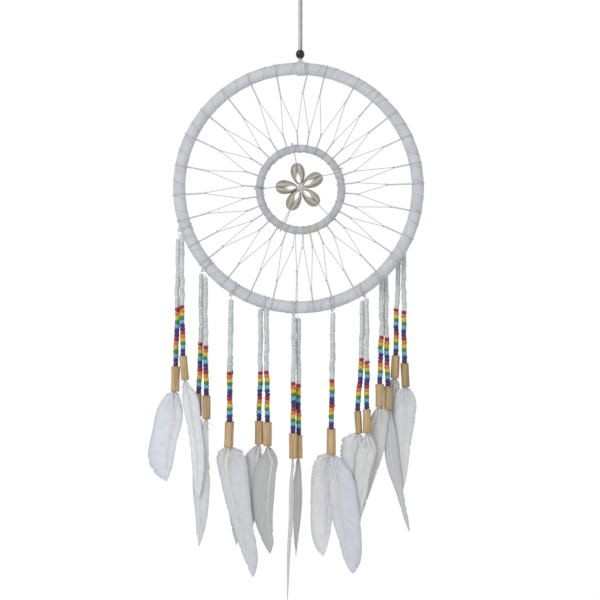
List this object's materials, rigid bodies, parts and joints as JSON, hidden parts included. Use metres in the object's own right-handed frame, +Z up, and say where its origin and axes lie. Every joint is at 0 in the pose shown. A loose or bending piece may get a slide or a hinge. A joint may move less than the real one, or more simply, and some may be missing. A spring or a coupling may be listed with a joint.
{
  "type": "dream catcher",
  "caption": "Hanging dream catcher: wrapped hoop with a thread web, small inner hoop with a cowrie flower, and beaded strands ending in bamboo tubes and feathers.",
  "frame": {"origin": "where a nail bears in the hanging eye of the lace, at the top inside of the eye", "axes": "+Z up, +X to the right seen from the front, -Y to the front"},
  "size_m": [0.243, 0.024, 0.583],
  "materials": {
    "cotton_tape": "matt woven cotton tape",
    "cane": "bare cane",
    "waxed_thread": "twisted waxed cotton",
    "cowrie_shell": "natural gloss",
    "suede_lace": "suede, dyed white",
    "black_bead": "gloss",
    "seed_beads": "opaque pressed glass",
    "bamboo": "sanded, clear varnish",
    "feather": "natural white feather"
  },
  "bodies": {
    "root": {"hanging_lace": "suede_lace", "lace_knot": "suede_lace"},
    "bead": {"cord_bead": "black_bead"},
    "hitch": {"lace_hitch": "suede_lace"},
    "hoop": {"outer_hoop_core": "cane", "outer_hoop_wrap": "cotton_tape", "inner_hoop_core": "cane", "inner_hoop_wrap": "cotton_tape", "web_thread": "waxed_thread", "cowrie_shells": "cowrie_shell", "flower_hub": "waxed_thread", "flower_threads": "waxed_thread", "tassel_ties": "waxed_thread"},
    "tassel_1a": {"tassel_1a_beads": "seed_beads", "tassel_1a_tube": "bamboo", "tassel_1a_feather": "feather"},
    "tassel_1b": {"tassel_1b_beads": "seed_beads", "tassel_1b_tube": "bamboo", "tassel_1b_feather": "feather"},
    "tassel_2a": {"tassel_2a_beads": "seed_beads", "tassel_2a_tube": "bamboo", "tassel_2a_feather": "feather"},
    "tassel_2b": {"tassel_2b_beads": "seed_beads", "tassel_2b_tube": "bamboo", "tassel_2b_feather": "feather"},
    "tassel_3": {"tassel_3_beads": "seed_beads", "tassel_3_tube": "bamboo", "tassel_3_feather": "feather"},
    "tassel_4a": {"tassel_4a_beads": "seed_beads", "tassel_4a_tube": "bamboo", "tassel_4a_feather": "feather"},
    "tassel_4b": {"tassel_4b_beads": "seed_beads", "tassel_4b_tube": "bamboo", "tassel_4b_feather": "feather"},
    "tassel_5": {"tassel_5_beads": "seed_beads", "tassel_5_tube": "bamboo", "tassel_5_feather": "feather"},
    "tassel_6": {"tassel_6_beads": "seed_beads", "tassel_6_tube": "bamboo", "tassel_6_feather": "feather"},
    "tassel_7a": {"tassel_7a_beads": "seed_beads", "tassel_7a_tube": "bamboo", "tassel_7a_feather": "feather"},
    "tassel_7b": {"tassel_7b_beads": "seed_beads", "tassel_7b_tube": "bamboo", "tassel_7b_feather": "feather"},
    "tassel_8a": {"tassel_8a_beads": "seed_beads", "tassel_8a_tube": "bamboo", "tassel_8a_feather": "feather"},
    "tassel_8b": {"tassel_8b_beads": "seed_beads", "tassel_8b_tube": "bamboo", "tassel_8b_feather": "feather"},
    "tassel_9a": {"tassel_9a_beads": "seed_beads", "tassel_9a_tube": "bamboo", "tassel_9a_feather": "feather"},
    "tassel_9b": {"tassel_9b_beads": "seed_beads", "tassel_9b_tube": "bamboo", "tassel_9b_feather": "feather"}
  },
  "joints": [
    {"name": "bead_slide", "type": "slide", "parent": "root", "child": "bead", "axis": [0, 0, 1], "range_m": [0, 0.03]},
    {"name": "hitch_twist", "type": "hinge", "parent": "root", "child": "hitch", "pos_m": [0, 0, -0.0825], "axis": [0, 0, 1], "range_deg": [-90, 90]},
    {"name": "hoop_tilt", "type": "hinge", "parent": "hitch", "child": "hoop", "pos_m": [0.0005, 0, -0.0902], "axis": [1, 0, 0], "range_deg": [-20, 20]},
    {"name": "tassel_1a_swing", "type": "hinge", "parent": "hoop", "child": "tassel_1a", "pos_m": [-0.1066, 0.0013, -0.2265], "axis": [1, 0, 0], "range_deg": [0, 30]},
    {"name": "tassel_1b_swing", "type": "hinge", "parent": "hoop", "child": "tassel_1b", "pos_m": [-0.1036, -0.0013, -0.236], "axis": [1, 0, 0], "range_deg": [-30, 0]},
    {"name": "tassel_2a_swing", "type": "hinge", "parent": "hoop", "child": "tassel_2a", "pos_m": [-0.085, 0.0005, -0.266], "axis": [1, 0, 0], "range_deg": [0, 30]},
    {"name": "tassel_2b_swing", "type": "hinge", "parent": "hoop", "child": "tassel_2b", "pos_m": [-0.085, 0.0005, -0.266], "axis": [1, 0, 0], "range_deg": [0, 30]},
    {"name": "tassel_3_swing", "type": "hinge", "parent": "hoop", "child": "tassel_3", "pos_m": [-0.0604, 0, -0.281], "axis": [1, 0, 0], "range_deg": [-30, 0]},
    {"name": "tassel_4a_swing", "type": "hinge", "parent": "hoop", "child": "tassel_4a", "pos_m": [-0.0322, 0, -0.2946], "axis": [1, 0, 0], "range_deg": [0, 30]},
    {"name": "tassel_4b_swing", "type": "hinge", "parent": "hoop", "child": "tassel_4b", "pos_m": [-0.0322, 0, -0.2946], "axis": [1, 0, 0], "range_deg": [0, 30]},
    {"name": "tassel_5_swing", "type": "hinge", "parent": "hoop", "child": "tassel_5", "pos_m": [-0.0034, 0, -0.2992], "axis": [1, 0, 0], "range_deg": [-30, 30]},
    {"name": "tassel_6_swing", "type": "hinge", "parent": "hoop", "child": "tassel_6", "pos_m": [0.0287, 0, -0.2948], "axis": [1, 0, 0], "range_deg": [-30, 0]},
    {"name": "tassel_7a_swing", "type": "hinge", "parent": "hoop", "child": "tassel_7a", "pos_m": [0.0562, 0, -0.282], "axis": [1, 0, 0], "range_deg": [0, 30]},
    {"name": "tassel_7b_swing", "type": "hinge", "parent": "hoop", "child": "tassel_7b", "pos_m": [0.0562, 0, -0.282], "axis": [1, 0, 0], "range_deg": [0, 30]},
    {"name": "tassel_8a_swing", "type": "hinge", "parent": "hoop", "child": "tassel_8a", "pos_m": [0.0735, 0.0089, -0.264], "axis": [1, 0, 0], "range_deg": [0, 30]},
    {"name": "tassel_8b_swing", "type": "hinge", "parent": "hoop", "child": "tassel_8b", "pos_m": [0.0735, 0.0089, -0.264], "axis": [1, 0, 0], "range_deg": [0, 30]},
    {"name": "tassel_9a_swing", "type": "hinge", "parent": "hoop", "child": "tassel_9a", "pos_m": [0.0892, 0.0089, -0.241], "axis": [1, 0, 0], "range_deg": [0, 30]},
    {"name": "tassel_9b_swing", "type": "hinge", "parent": "hoop", "child": "tassel_9b", "pos_m": [0.0892, 0.0089, -0.241], "axis": [1, 0, 0], "range_deg": [0, 30]}
  ],
  "couplings": [
    {"joint": "tassel_2a_swing", "follows": "tassel_2b_swing", "ratio": 1},
    {"joint": "tassel_4a_swing", "follows": "tassel_4b_swing", "ratio": 1},
    {"joint": "tassel_7a_swing", "follows": "tassel_7b_swing", "ratio": 1},
    {"joint": "tassel_8a_swing", "follows": "tassel_7b_swing", "ratio": 1},
    {"joint": "tassel_8b_swing", "follows": "tassel_7b_swing", "ratio": 1},
    {"joint": "tassel_9a_swing", "follows": "tassel_7b_swing", "ratio": 1},
    {"joint": "tassel_9b_swing", "follows": "tassel_7b_swing", "ratio": 1}
  ]
}
